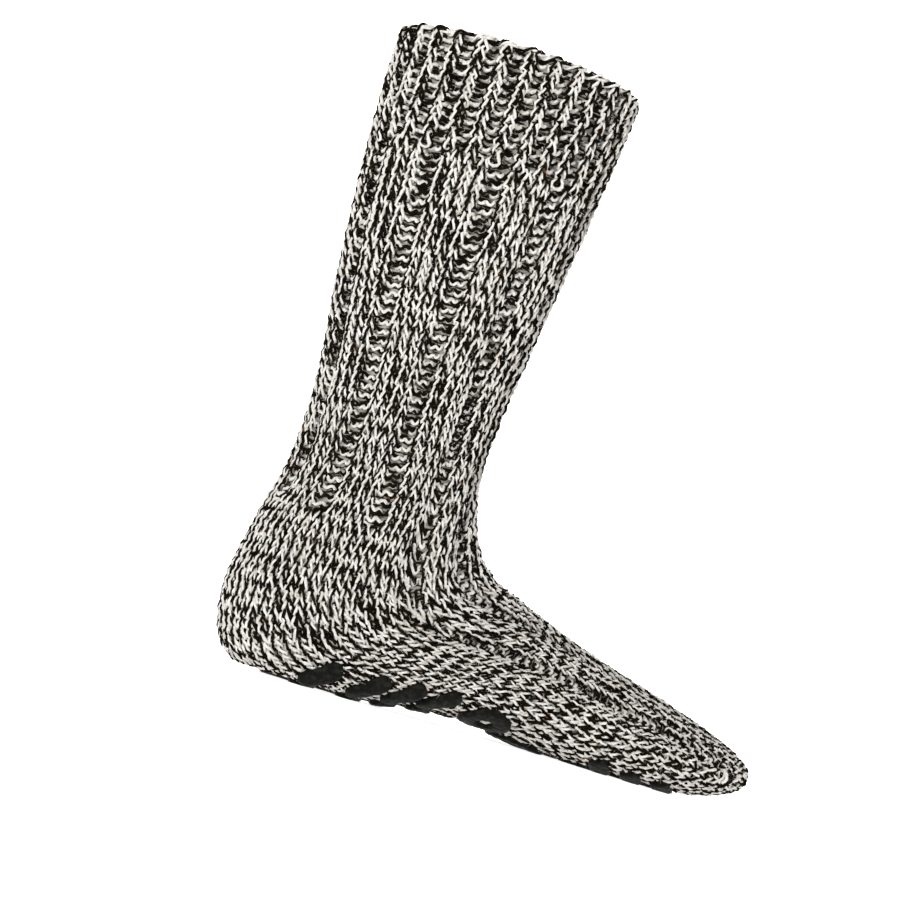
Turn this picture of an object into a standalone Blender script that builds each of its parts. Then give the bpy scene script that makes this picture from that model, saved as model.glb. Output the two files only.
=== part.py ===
"""Knitted slipper sock with a rubber print on its sole. Metres, +Z up, toe towards +X, sole on z = 0."""

import math

import bmesh
import bpy
from mathutils import Vector
from mathutils.bvhtree import BVHTree

# Driving sizes of the filled sock
FOOT_LENGTH = 0.258
BALL_WIDTH = 0.096
ANKLE_HEIGHT = 0.105
SHAFT_HEIGHT = 0.275
COLLAR_DEPTH = 0.109
COLLAR_WIDTH = 0.102
CUFF_HEIGHT = 0.049
WALL = 0.003

# The knit: stitches round the sock, and how far the purl stitches lie back
WALES = 60
RIB_REPEAT = 6
LEG_RIB_DEPTH = 0.0015
CUFF_RIB_DEPTH = 0.0013
INSTEP_WALES = 15
RIB_FADE = 0.012
RIB_END_SHARE = 0.92

# The rubber print
PRINT_THICKNESS = 0.0012
PRINT_GAP = 0.0003
BAR_LENGTH = 0.019
BAR_WIDTH = 0.0085
EDGE_SLOPE = 0.0005
SOLE_LEVEL = PRINT_THICKNESS + PRINT_GAP

# Mesh steps
RING_STEP = 0.0098
DENSE_POINTS = 120
INNER_SKIP = 2
NORMAL_STEP = RING_STEP / 8
LEAST_HALF_WIDTH = 4 * WALL
LEAST_SPAN = 1e-9
SMOOTH_ANGLE = 40

# How a place on the sole is looked for: rays run in towards an axis inside the foot, this many degrees apart
SEARCH_ANGLE_STEP = 3.0
SEARCH_WIDEST_ANGLE = 120.0
SEARCH_AXIS_HEIGHT = 0.018
SEARCH_REACH = 0.2
SLOPE_PROBE = 0.0034

# The leg, from the collar down: rise above the ankle, setback from the heel, depth and width
LEG_COLUMNS = ("rise", "setback", "depth", "width")
LEG_SECTIONS = (
    (1.00, 0.012, 1.00, 1.00),
    (0.82, 0.012, 0.97, 0.96),
    (0.59, 0.019, 0.91, 0.90),
    (0.35, 0.031, 0.83, 0.82),
    (0.15, 0.045, 0.76, 0.74),
    (0.00, 0.048, 0.74, 0.72),
)

# The foot, from the ankle to the toe. Each section leans from a point on top to one on the heel or sole.
# top_run is a share of the way from the ankle to the toe, sole_run one of FOOT_LENGTH, both rises ones of
# ANKLE_HEIGHT and width one of BALL_WIDTH. belly says how far up the widest place lies.
FOOT_COLUMNS = ("top_run", "top_rise", "sole_run", "sole_rise", "width", "belly", "squareness")
FOOT_SECTIONS = (
    (0.018, 0.876, 0.038, 0.770, 0.75, 0.49, 2.1),
    (0.043, 0.790, 0.014, 0.530, 0.73, 0.47, 2.2),
    (0.074, 0.725, 0.001, 0.280, 0.71, 0.45, 2.4),
    (0.105, 0.683, 0.023, 0.072, 0.69, 0.43, 2.5),
    (0.143, 0.645, 0.088, -0.012, 0.69, 0.41, 2.6),
    (0.198, 0.607, 0.225, -0.004, 0.72, 0.40, 2.6),
    (0.270, 0.562, 0.372, 0.042, 0.79, 0.40, 2.5),
    (0.372, 0.505, 0.516, 0.036, 0.89, 0.40, 2.5),
    (0.500, 0.448, 0.640, 0.004, 0.97, 0.40, 2.6),
    (0.646, 0.392, 0.756, -0.006, 1.00, 0.40, 2.6),
    (0.780, 0.340, 0.857, 0.000, 0.94, 0.42, 2.6),
    (0.890, 0.290, 0.931, 0.030, 0.78, 0.45, 2.5),
    (0.957, 0.252, 0.973, 0.064, 0.60, 0.48, 2.4),
    (0.988, 0.212, 0.992, 0.104, 0.36, 0.50, 2.2),
    (1.000, 0.158, 1.000, 0.158, 0.00, 0.50, 2.0),
)

# The print, laid out on the sole: run is a share of FOOT_LENGTH from the heel to the middle of a bar or
# ring, girth one of half BALL_WIDTH along the skin from the centre line, turn in degrees from the foot's
# direction, towards the outside of its side
PRINT_COLUMNS = ("name", "run", "girth", "turn")
BARS = (
    ("grip_heel_1_inner", 0.153, 0.22, -46),
    ("grip_heel_1_outer", 0.150, 0.59, 46),
    ("grip_side_1_inner", 0.238, 0.22, -46),
    ("grip_side_1_outer", 0.235, 0.60, 46),
    ("grip_side_2_inner", 0.301, 0.22, -46),
    ("grip_side_2_outer", 0.298, 0.61, 46),
    ("grip_side_3_inner", 0.364, 0.22, -46),
    ("grip_side_3_outer", 0.361, 0.62, 46),
    ("grip_toe_1_inner", 0.680, 0.24, 50),
    ("grip_toe_1_outer", 0.680, 0.64, -50),
    ("grip_toe_2_inner", 0.743, 0.24, 50),
    ("grip_toe_2_outer", 0.743, 0.64, -50),
    ("grip_toe_3_inner", 0.806, 0.24, 50),
    ("grip_toe_3_outer", 0.806, 0.63, -50),
)
SIDES = (("right", -1), ("left", 1))

# Rings of the print: outer and inner diameters
RING_OUTER = 0.027
RING_INNER = 0.012
SMALL_RING_OUTER = 0.022
SMALL_RING_INNER = 0.008
RINGS = (
    ("grip_ring_middle", 0.578, 0.0, RING_OUTER, RING_INNER),
    ("grip_ring_right", 0.460, -0.52, SMALL_RING_OUTER, SMALL_RING_INNER),
    ("grip_ring_left", 0.460, 0.52, SMALL_RING_OUTER, SMALL_RING_INNER),
)
RING_SEGMENTS = 18

# Shape of a bar: where its stations lie along its half length, and how wide it is there
BAR_STATIONS = ((-1.0, 0.50), (-0.84, 0.90), (-0.32, 1.0), (0.32, 1.0), (0.84, 0.90), (1.0, 0.50))


def clear_scene():
    for obj in list(bpy.data.objects):
        bpy.data.objects.remove(obj, do_unlink=True)


def make_material(name, colour, roughness):
    material = bpy.data.materials.new(name)
    material.use_nodes = True
    shader = material.node_tree.nodes["Principled BSDF"]
    shader.inputs["Base Color"].default_value = (*colour, 1.0)
    shader.inputs["Roughness"].default_value = roughness
    shader.inputs["Metallic"].default_value = 0.0
    return material


def make_object(name, mesh, material):
    mesh.materials.append(material)
    mesh.shade_smooth()
    mesh.set_sharp_from_angle(angle=math.radians(SMOOTH_ANGLE))
    obj = bpy.data.objects.new(name, mesh)
    bpy.context.scene.collection.objects.link(obj)
    return obj


# The sections of the sock


def leg_section(row):
    part = dict(zip(LEG_COLUMNS, row))
    back = part["setback"] * FOOT_LENGTH
    height = ANKLE_HEIGHT + part["rise"] * (SHAFT_HEIGHT - ANKLE_HEIGHT)
    front = back + part["depth"] * COLLAR_DEPTH
    return (front, height, back, height, part["width"] * COLLAR_WIDTH / 2, 0.5, 2.0)


def foot_section(row, ankle_front):
    part = dict(zip(FOOT_COLUMNS, row))
    top = ankle_front + part["top_run"] * (FOOT_LENGTH - ankle_front)
    return (
        top,
        part["top_rise"] * ANKLE_HEIGHT,
        part["sole_run"] * FOOT_LENGTH,
        part["sole_rise"] * ANKLE_HEIGHT,
        part["width"] * BALL_WIDTH / 2,
        part["belly"],
        part["squareness"],
    )


def all_sections():
    leg = [leg_section(row) for row in LEG_SECTIONS]
    ankle_front = leg[-1][0]
    return leg + [foot_section(row, ankle_front) for row in FOOT_SECTIONS]


def travel(first, second):
    """How far the knitting goes between two sections, with their change of width."""
    top = math.hypot(second[0] - first[0], second[1] - first[1])
    sole = math.hypot(second[2] - first[2], second[3] - first[3])
    return (top + sole) / 2 + abs(second[4] - first[4])


def section_knots(sections):
    knots = [0.0]
    for first, second in zip(sections, sections[1:]):
        knots.append(knots[-1] + travel(first, second))
    return knots


def section_at(sections, knots, run):
    """The section at a run along the sock, by a smooth curve through the table's sections."""
    last = len(knots) - 1
    index = 0
    while index < last - 1 and run > knots[index + 1]:
        index += 1
    span = knots[index + 1] - knots[index]
    part = min(max((run - knots[index]) / span, 0.0), 1.0)
    before = max(index - 1, 0)
    after = min(index + 2, last)
    square = part * part
    cube = square * part
    values = []
    for column in range(len(sections[0])):
        here = sections[index][column]
        there = sections[index + 1][column]
        slope_here = (there - sections[before][column]) / (knots[index + 1] - knots[before]) * span
        slope_there = (sections[after][column] - here) / (knots[after] - knots[index]) * span
        values.append(
            (2 * cube - 3 * square + 1) * here
            + (cube - 2 * square + part) * slope_here
            + (3 * square - 2 * cube) * there
            + (cube - square) * slope_there
        )
    return values


def oval(cosine, power):
    return math.copysign(abs(cosine) ** (2 / power), cosine)


def section_outline(values, level):
    """A point for each stitch round a section: down the right side, then up the left."""
    top_x, top_z, sole_x, sole_z, half_width, belly, squareness = values
    points = []
    for step in range(DENSE_POINTS + 1):
        angle = math.pi * step / DENSE_POINTS
        power = 2.0 if angle < math.pi / 2 else squareness
        height = oval(math.cos(angle), power)
        side = abs(math.sin(angle)) ** (2 / power)
        share = belly + height * ((1 - belly) if height > 0 else belly)
        x = sole_x + (top_x - sole_x) * share
        z = sole_z + (top_z - sole_z) * share
        points.append(Vector((x, -half_width * side, max(z, level))))
    lengths = [0.0]
    for first, second in zip(points, points[1:]):
        lengths.append(lengths[-1] + (second - first).length)
    half = []
    index = 0
    for wale in range(WALES // 2):
        wanted = lengths[-1] * (wale + 0.5) / (WALES // 2)
        while index < DENSE_POINTS - 1 and lengths[index + 1] < wanted:
            index += 1
        span = max(lengths[index + 1] - lengths[index], LEAST_SPAN)
        half.append(points[index].lerp(points[index + 1], (wanted - lengths[index]) / span))
    other = [Vector((point.x, -point.y, point.z)) for point in reversed(half)]
    return half + other


def outline_normals(before, here, after):
    """Outward normals of one ring of points, from its neighbours round and along the sock."""
    count = len(here)
    normals = []
    for wale in range(count):
        around = here[(wale + 1) % count] - here[wale - 1]
        along = after[wale] - before[wale]
        normals.append(around.cross(along).normalized())
    return normals


def is_purl_in_leg(wale):
    """Two purl stitches in each repeat, on both sides of the sock's front line."""
    return wale % RIB_REPEAT in (0, RIB_REPEAT - 1)


def rib_relief(wale, point):
    """How far a point lies back from the knit's crest."""
    if point.z > SHAFT_HEIGHT - CUFF_HEIGHT:
        return CUFF_RIB_DEPTH * (wale % 2)
    if not is_purl_in_leg(wale):
        return 0.0
    if min(wale, WALES - 1 - wale) < INSTEP_WALES:
        rib_end = RIB_END_SHARE * FOOT_LENGTH
        return LEG_RIB_DEPTH * min(max((rib_end - point.x) / RIB_FADE, 0.0), 1.0)
    return LEG_RIB_DEPTH * min(max((point.z - ANKLE_HEIGHT) / RIB_FADE, 0.0), 1.0)


def sock_rings():
    """Outer rings with their ribs, and smooth inner rings one wall further in."""
    sections = all_sections()
    knots = section_knots(sections)
    count = round(knots[-1] / RING_STEP)
    outer = []
    inner = []
    for ring in range(count):
        run = knots[-1] * ring / count
        here = section_outline(section_at(sections, knots, run), SOLE_LEVEL)
        before = section_outline(section_at(sections, knots, max(run - NORMAL_STEP, 0.0)), SOLE_LEVEL)
        after = section_outline(section_at(sections, knots, run + NORMAL_STEP), SOLE_LEVEL)
        normals = outline_normals(before, here, after)
        outer.append([p - n * rib_relief(w, p) for w, (p, n) in enumerate(zip(here, normals))])
        wide_enough = abs(here[WALES // 4].y) > LEAST_HALF_WIDTH
        if ring % INNER_SKIP == 0 and wide_enough:
            ring_inside = []
            for point, normal in list(zip(here, normals))[::INNER_SKIP]:
                inside = point - normal * WALL
                inside.z = max(inside.z, SOLE_LEVEL + WALL)
                ring_inside.append(inside)
            inner.append(ring_inside)
    for point in outer[0] + inner[0]:
        point.z = SHAFT_HEIGHT
    tip = Vector((sections[-1][0], 0.0, sections[-1][1]))
    return outer, inner, tip


def centre_shift(outer, tip):
    """Puts the middle of the foot's length over the origin."""
    lowest = min(point.x for ring in outer for point in ring)
    return Vector((-(lowest + tip.x) / 2, 0.0, 0.0))


def add_strips(work, rings, facing_out):
    for first, second in zip(rings, rings[1:]):
        count = len(first)
        for i in range(count):
            j = (i + 1) % count
            corners = [first[i], second[i], second[j], first[j]]
            if not facing_out:
                corners.reverse()
            work.faces.new(corners)


def add_cap(work, ring, tip, facing_out):
    count = len(ring)
    for i in range(count):
        corners = [ring[i], tip, ring[(i + 1) % count]]
        if not facing_out:
            corners.reverse()
        work.faces.new(corners)


def build_upper(outer, inner, tip, shift, material):
    work = bmesh.new()
    outer_rings = [[work.verts.new(point + shift) for point in ring] for ring in outer]
    inner_rings = [[work.verts.new(point + shift) for point in ring] for ring in inner]
    outer_tip = work.verts.new(tip + shift)
    inner_tip = work.verts.new(tip + shift - Vector((WALL, 0.0, 0.0)))
    add_strips(work, outer_rings, True)
    add_cap(work, outer_rings[-1], outer_tip, True)
    add_strips(work, inner_rings, False)
    add_cap(work, inner_rings[-1], inner_tip, False)
    rim_inside = inner_rings[0]
    rim_outside = outer_rings[0]
    count = len(rim_inside)
    for i in range(count):
        a = rim_outside[INNER_SKIP * i]
        b = rim_outside[INNER_SKIP * i + 1]
        c = rim_outside[(INNER_SKIP * i + 2) % WALES]
        near = rim_inside[i]
        far = rim_inside[(i + 1) % count]
        work.faces.new((near, a, b))
        work.faces.new((near, b, far))
        work.faces.new((far, b, c))
    bmesh.ops.recalc_face_normals(work, faces=work.faces)
    bmesh.ops.triangulate(work, faces=work.faces)
    mesh = bpy.data.meshes.new("upper")
    work.to_mesh(mesh)
    tree = BVHTree.FromBMesh(work)
    work.free()
    return make_object("upper", mesh, material), tree


# The rubber print


class Sole:
    """Finds places on the underside of the sock by run from the heel and girth from its centre line."""

    def __init__(self, tree, shift):
        self.tree = tree
        self.heel = shift.x

    def hit(self, x, angle, side):
        centre = Vector((x, 0.0, SEARCH_AXIS_HEIGHT))
        direction = Vector((0.0, side * math.sin(angle), -math.cos(angle)))
        return self.tree.ray_cast(centre + direction * SEARCH_REACH, -direction)

    def place(self, run, girth):
        """The point of the skin at this run and girth, and its outward normal."""
        x = self.heel + run
        side = 1 if girth >= 0 else -1
        wanted = abs(girth)
        last_point = self.hit(x, 0.0, side)[0]
        travelled = 0.0
        for step in range(1, int(SEARCH_WIDEST_ANGLE / SEARCH_ANGLE_STEP)):
            angle = math.radians(SEARCH_ANGLE_STEP * step)
            point, normal = self.hit(x, angle, side)[:2]
            length = (point - last_point).length
            if travelled + length >= wanted:
                share = (wanted - travelled) / length
                exact = math.radians(SEARCH_ANGLE_STEP * (step - 1 + share))
                point, normal = self.hit(x, exact, side)[:2]
                return point, normal
            travelled += length
            last_point = point
        return point, normal

    def lifted(self, run, girth, height):
        """A point this far off the skin, and further where the skin bulges between such points."""
        point = self.place(run, girth)[0]
        slope = Vector()
        around = []
        for run_step in (-SLOPE_PROBE, 0.0, SLOPE_PROBE):
            for girth_step in (-SLOPE_PROBE, 0.0, SLOPE_PROBE):
                near, normal = self.place(run + run_step, girth + girth_step)
                around.append(near)
                slope += normal
        slope.normalize()
        bulge = max(0.0, max((point - near).dot(slope) for near in around))
        place = point + slope * (height + bulge)
        place.z = max(place.z, SOLE_LEVEL - height)
        return place


def grid_solid(name, lower, upper, closed, material):
    """A thin pad between two grids of points, each a list of rows. closed joins the last row to the first."""
    work = bmesh.new()
    low = [[work.verts.new(point) for point in row] for row in lower]
    top = [[work.verts.new(point) for point in row] for row in upper]
    rows = len(low)
    columns = len(low[0])
    row_steps = rows if closed else rows - 1
    for i in range(row_steps):
        k = (i + 1) % rows
        for j in range(columns - 1):
            work.faces.new((low[i][j], low[k][j], low[k][j + 1], low[i][j + 1]))
            work.faces.new((top[i][j], top[i][j + 1], top[k][j + 1], top[k][j]))
        work.faces.new((low[i][0], top[i][0], top[k][0], low[k][0]))
        work.faces.new((low[i][-1], low[k][-1], top[k][-1], top[i][-1]))
    if not closed:
        for j in range(columns - 1):
            work.faces.new((low[0][j], low[0][j + 1], top[0][j + 1], top[0][j]))
            work.faces.new((low[-1][j], top[-1][j], top[-1][j + 1], low[-1][j + 1]))
    bmesh.ops.recalc_face_normals(work, faces=work.faces)
    bmesh.ops.triangulate(work, faces=work.faces)
    mesh = bpy.data.meshes.new(name)
    work.to_mesh(mesh)
    work.free()
    return make_object(name, mesh, material)


def bar_points(sole, run, girth, turn, side, shrink, height):
    direction = (math.cos(turn), math.sin(turn) * side)
    across = (-direction[1], direction[0])
    rows = []
    for along, wide in BAR_STATIONS:
        forward = along * (BAR_LENGTH / 2 - shrink)
        row = []
        for edge in (-1, 0, 1):
            sideways = edge * wide * (BAR_WIDTH / 2 - shrink)
            run_here = run + forward * direction[0] + sideways * across[0]
            girth_here = girth + forward * direction[1] + sideways * across[1]
            row.append(sole.lifted(run_here, girth_here, height))
        rows.append(row)
    return rows


def build_bar(sole, name, run, girth, turn, side, material):
    lower = bar_points(sole, run, girth, turn, side, 0.0, PRINT_GAP)
    upper = bar_points(sole, run, girth, turn, side, EDGE_SLOPE, PRINT_GAP + PRINT_THICKNESS)
    return grid_solid(name, lower, upper, False, material)


def ring_points(sole, run, girth, outer, inner, shrink, height):
    rows = []
    for segment in range(RING_SEGMENTS):
        angle = 2 * math.pi * segment / RING_SEGMENTS
        row = []
        for radius in (inner / 2 + shrink, (inner + outer) / 4, outer / 2 - shrink):
            run_here = run + radius * math.cos(angle)
            girth_here = girth + radius * math.sin(angle)
            row.append(sole.lifted(run_here, girth_here, height))
        rows.append(row)
    return rows


def build_ring(sole, name, run, girth, outer, inner, material):
    lower = ring_points(sole, run, girth, outer, inner, 0.0, PRINT_GAP)
    upper = ring_points(sole, run, girth, outer, inner, EDGE_SLOPE, PRINT_GAP + PRINT_THICKNESS)
    return grid_solid(name, lower, upper, True, material)


def build_print(sole, material):
    for row in BARS:
        part = dict(zip(PRINT_COLUMNS, row))
        for side_name, side in SIDES:
            build_bar(
                sole,
                f"{part['name']}_{side_name}",
                part["run"] * FOOT_LENGTH,
                side * part["girth"] * BALL_WIDTH / 2,
                math.radians(part["turn"]),
                side,
                material,
            )
    for name, run, girth, outer, inner in RINGS:
        build_ring(sole, name, run * FOOT_LENGTH, girth * BALL_WIDTH / 2, outer, inner, material)


def main():
    clear_scene()
    wool = make_material("marled_wool", (0.30, 0.28, 0.25), 0.95)
    rubber = make_material("printed_rubber", (0.014, 0.015, 0.012), 0.6)
    outer, inner, tip = sock_rings()
    shift = centre_shift(outer, tip)
    tree = build_upper(outer, inner, tip, shift, wool)[1]
    build_print(Sole(tree, shift), rubber)


main()
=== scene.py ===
import math

import bpy
import numpy as np
from mathutils import Matrix, Vector
from mathutils.bvhtree import BVHTree


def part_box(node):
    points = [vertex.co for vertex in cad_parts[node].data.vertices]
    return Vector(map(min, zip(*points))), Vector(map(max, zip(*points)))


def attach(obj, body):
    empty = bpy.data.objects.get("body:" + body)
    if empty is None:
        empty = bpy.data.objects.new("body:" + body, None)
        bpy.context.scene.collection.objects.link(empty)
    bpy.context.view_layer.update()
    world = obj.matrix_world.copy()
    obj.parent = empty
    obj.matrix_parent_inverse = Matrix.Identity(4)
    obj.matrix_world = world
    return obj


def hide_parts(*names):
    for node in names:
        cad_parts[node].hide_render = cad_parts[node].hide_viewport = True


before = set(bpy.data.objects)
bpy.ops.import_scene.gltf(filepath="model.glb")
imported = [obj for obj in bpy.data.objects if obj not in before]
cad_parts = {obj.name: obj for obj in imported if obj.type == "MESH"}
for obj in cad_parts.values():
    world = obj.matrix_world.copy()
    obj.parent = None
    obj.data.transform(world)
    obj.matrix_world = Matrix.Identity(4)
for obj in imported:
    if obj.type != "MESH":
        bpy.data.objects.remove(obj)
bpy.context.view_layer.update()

UPPER_LOW, UPPER_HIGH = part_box("upper")

# Sizes of the filled sock, in metres. The tables of sections hold shares of them.
FOOT_LENGTH = 0.258
BALL_WIDTH = 0.096
ANKLE_HEIGHT = 0.105
SHAFT_HEIGHT = UPPER_HIGH[2]
SOLE_LEVEL = UPPER_LOW[2]
COLLAR_DEPTH = 0.109
COLLAR_WIDTH = 0.102
CUFF_HEIGHT = 0.049
HEEL_X = UPPER_HIGH[0] - FOOT_LENGTH

# The knit. Lengths are in metres, leans in stitches and loop heights in courses.
WALES = 60
RIB_REPEAT = 6
RIB_WIDTHS = (1.06, 0.88)
CUFF_RIB_WIDTHS = (1.10, 0.90)
INSTEP_WALES = 15
FOOT_WALES = 52
TOE_STITCH = 0.0045
FULL_STITCH = 0.0051
LEAST_STITCHES = 8
LEAST_SNUG = 0.75
LAST_COURSE = 0.998
COURSE = 0.00395
YARN_RADIUS = 0.00117
LOOP_HEIGHT = 0.80
LOOP_LEAN = 0.235
FOOT_LEAN = 0.275
CUFF_LEAN = 0.27
LOOP_DEPTH = 0.0008
HEAD_LIFT = 0.3
TURN_REACH = math.pi / 3
CREST_TO_MIDDLE = 0.0019
LEG_RIB_DEPTH = 0.0042
RIB_POWER = 1.3
TOE_RIB_POWER = 1.5
PLAIN_TOE_COURSES = 5
CUFF_RIB_DEPTH = 0.0028
SAMPLES = 12
PURL_OFFSET = 0.34
PURL_WAVE = 0.15
CUFF_PURL_OFFSET = 0.64
CUFF_PURL_WAVE = 0.12
PURL_THICKNESS = 0.34
HEEL_RIB_COURSES = 9
HEEL_RIB_FADE = 5
EVEN_HEEL_WALES = 12
MITRE_FADE_START = 11
MITRE_FADE = 5
MITRE_POWER = 3
CAST_ON_HEIGHT = 0.0022
CAST_ON_MIDDLE = 0.0014
CAST_ON_WAVE = 0.0007
CAST_ON_SCALLOP = 0.5
CAST_ON_RIB = 0.8
CAST_ON_SAMPLES = 7
CAST_ON_YARN = 0.9
TWIST_PITCH = 0.0165
TWIST_WANDER = 0.12
LEAN_WOBBLE = 0.08
RISE_WOBBLE = 0.035
DEPTH_WOBBLE = 0.00010
THICK_WAVE = 0.08
THICK_WAVE_LENGTH = 0.011
THICK_RANGE = (0.95, 1.05)
WAVE_STARTS = (0, 6)
UV_FOLDS = 4
UV_BAND = 0.94
UV_MARGIN = 0.03

# The fabric behind the loops
BACKING_ROWS = 110
BACKING_COLUMNS = 60
BACKING_START = 0.0012
BACKING_END = 0.997
BACKING_DROP = 0.0003

# Loose fibres
FIBRE_SEED = 31
FIBRES = 9000
FIBRE_LENGTHS = (0.0012, 0.0032)
FIBRE_WIDTH = 0.00009
FIBRE_FLOOR = 0.0003
FIBRE_ROOT = 0.0006
FIBRE_LIFT = 1.2
FIBRE_BEND = 0.45
FIBRE_CORNERS = 5
DARK_FIBRES = 0.3

# The print
PRINT_ALONG = 22
PRINT_ACROSS = 8
PRINT_ROUND = 48
PRINT_EDGE = 0.0007
PRINT_FLAT = 0.55
PRINT_SKIRT = 0.0030
PRINT_UNEVEN = 0.02
SLOW_WAVES = 3
QUICK_WAVES = 8
TREE_STEP = 2
RIPPLE = 0.00010
RAY_START = 0.012

# Floor, light and camera
FLOOR_SIZE = 6
FLOOR_GLOW = 0.8
FLOOR_ROUGHNESS = 0.8
WALL_SIZE = 8
WALL_PLACE = (-1.4, 2.6, 0)
WALL_GLOW = 1.0
WALL_ROUGHNESS = 0.5
WORLD_GLOW = 0.33
WHITE = (1, 1, 1, 1)
PAPER_WHITE = (0.9, 0.9, 0.9, 1)
LIGHT_TARGET = (0, 0, 0.12)
LIGHT_COLUMNS = ("name", "place", "size", "power")
LIGHTS = (
    ("key", (-1.3, -1.4, 1.3), 0.5, 33),
    ("fill", (1.6, -1.0, 0.9), 1.2, 7),
    ("back", (-0.3, 1.8, 1.3), 1.2, 10),
)
CAMERA_AZIMUTH = math.radians(-27)
CAMERA_DISTANCE = 1.3
CAMERA_HEIGHT = 0.03
CAMERA_ROLL = math.radians(17)
LENS = 127
SENSOR_WIDTH = 36
CLIP_END = 20
LOOK_ALONG = 0.07
LOOK_HEIGHT = 0.11

# Sections of the sock, from the collar down and on along the foot, in shares of the sizes above
LEG_COLUMNS = ("rise", "setback", "depth", "width")
LEG_SECTIONS = (
    (1.00, 0.012, 1.00, 1.00),
    (0.82, 0.012, 0.97, 0.96),
    (0.59, 0.019, 0.91, 0.90),
    (0.35, 0.031, 0.83, 0.82),
    (0.15, 0.045, 0.76, 0.74),
    (0.00, 0.048, 0.74, 0.72),
)
FOOT_COLUMNS = ("top_run", "top_rise", "sole_run", "sole_rise", "width", "belly", "squareness")
FOOT_SECTIONS = (
    (0.018, 0.876, 0.038, 0.770, 0.75, 0.49, 2.1),
    (0.043, 0.790, 0.014, 0.530, 0.73, 0.47, 2.2),
    (0.074, 0.725, 0.001, 0.280, 0.71, 0.45, 2.4),
    (0.105, 0.683, 0.023, 0.072, 0.69, 0.43, 2.5),
    (0.143, 0.645, 0.088, -0.012, 0.69, 0.41, 2.6),
    (0.198, 0.607, 0.225, -0.004, 0.72, 0.40, 2.6),
    (0.270, 0.562, 0.372, 0.042, 0.79, 0.40, 2.5),
    (0.372, 0.505, 0.516, 0.036, 0.89, 0.40, 2.5),
    (0.500, 0.448, 0.640, 0.004, 0.97, 0.40, 2.6),
    (0.646, 0.392, 0.756, -0.006, 1.00, 0.40, 2.6),
    (0.780, 0.340, 0.857, 0.000, 0.94, 0.42, 2.6),
    (0.890, 0.290, 0.931, 0.030, 0.78, 0.45, 2.5),
    (0.957, 0.252, 0.973, 0.064, 0.60, 0.48, 2.4),
    (0.988, 0.212, 0.992, 0.104, 0.36, 0.50, 2.2),
    (1.000, 0.158, 1.000, 0.158, 0.00, 0.50, 2.0),
)
LEG_END = len(LEG_SECTIONS) - 1
HEEL_SECTIONS = 7
FOOT_START = LEG_END + HEEL_SECTIONS
LEG_BELLY = 0.5
ROUND_POWER = 2.0
TINY = 1e-12

# The skin that the knit follows


def section_table():
    rows = []
    for row in LEG_SECTIONS:
        part = dict(zip(LEG_COLUMNS, row))
        back = part["setback"] * FOOT_LENGTH
        height = ANKLE_HEIGHT + part["rise"] * (SHAFT_HEIGHT - ANKLE_HEIGHT)
        front = back + part["depth"] * COLLAR_DEPTH
        half_width = part["width"] * COLLAR_WIDTH / 2
        rows.append((front, height, back, height, half_width, LEG_BELLY, ROUND_POWER))
    ankle_front = rows[-1][0]
    for row in FOOT_SECTIONS:
        part = dict(zip(FOOT_COLUMNS, row))
        rows.append((
            ankle_front + part["top_run"] * (FOOT_LENGTH - ankle_front),
            part["top_rise"] * ANKLE_HEIGHT,
            part["sole_run"] * FOOT_LENGTH,
            part["sole_rise"] * ANKLE_HEIGHT,
            part["width"] * BALL_WIDTH / 2,
            part["belly"],
            part["squareness"],
        ))
    return np.array(rows)


def section_knots(table):
    step = np.diff(table, axis=0)
    top = np.hypot(step[:, 0], step[:, 1])
    sole = np.hypot(step[:, 2], step[:, 3])
    return np.concatenate(([0.0], np.cumsum((top + sole) / 2 + np.abs(step[:, 4]))))


def sections_at(table, knots, runs):
    """Smooth sections between the table's own, at many runs."""
    last = len(knots) - 1
    index = np.clip(np.searchsorted(knots, runs, side="right") - 1, 0, last - 1)
    before = np.maximum(index - 1, 0)
    after = np.minimum(index + 2, last)
    span = (knots[index + 1] - knots[index])[:, None]
    part = np.clip((runs - knots[index])[:, None] / span, 0, 1)
    here = table[index]
    there = table[index + 1]
    slope_here = (there - table[before]) / (knots[index + 1] - knots[before])[:, None] * span
    slope_there = (table[after] - here) / (knots[after] - knots[index])[:, None] * span
    square = part ** 2
    cube = part ** 3
    return (
        (2 * cube - 3 * square + 1) * here
        + (cube - 2 * square + part) * slope_here
        + (3 * square - 2 * cube) * there
        + (cube - square) * slope_there
    )


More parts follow.
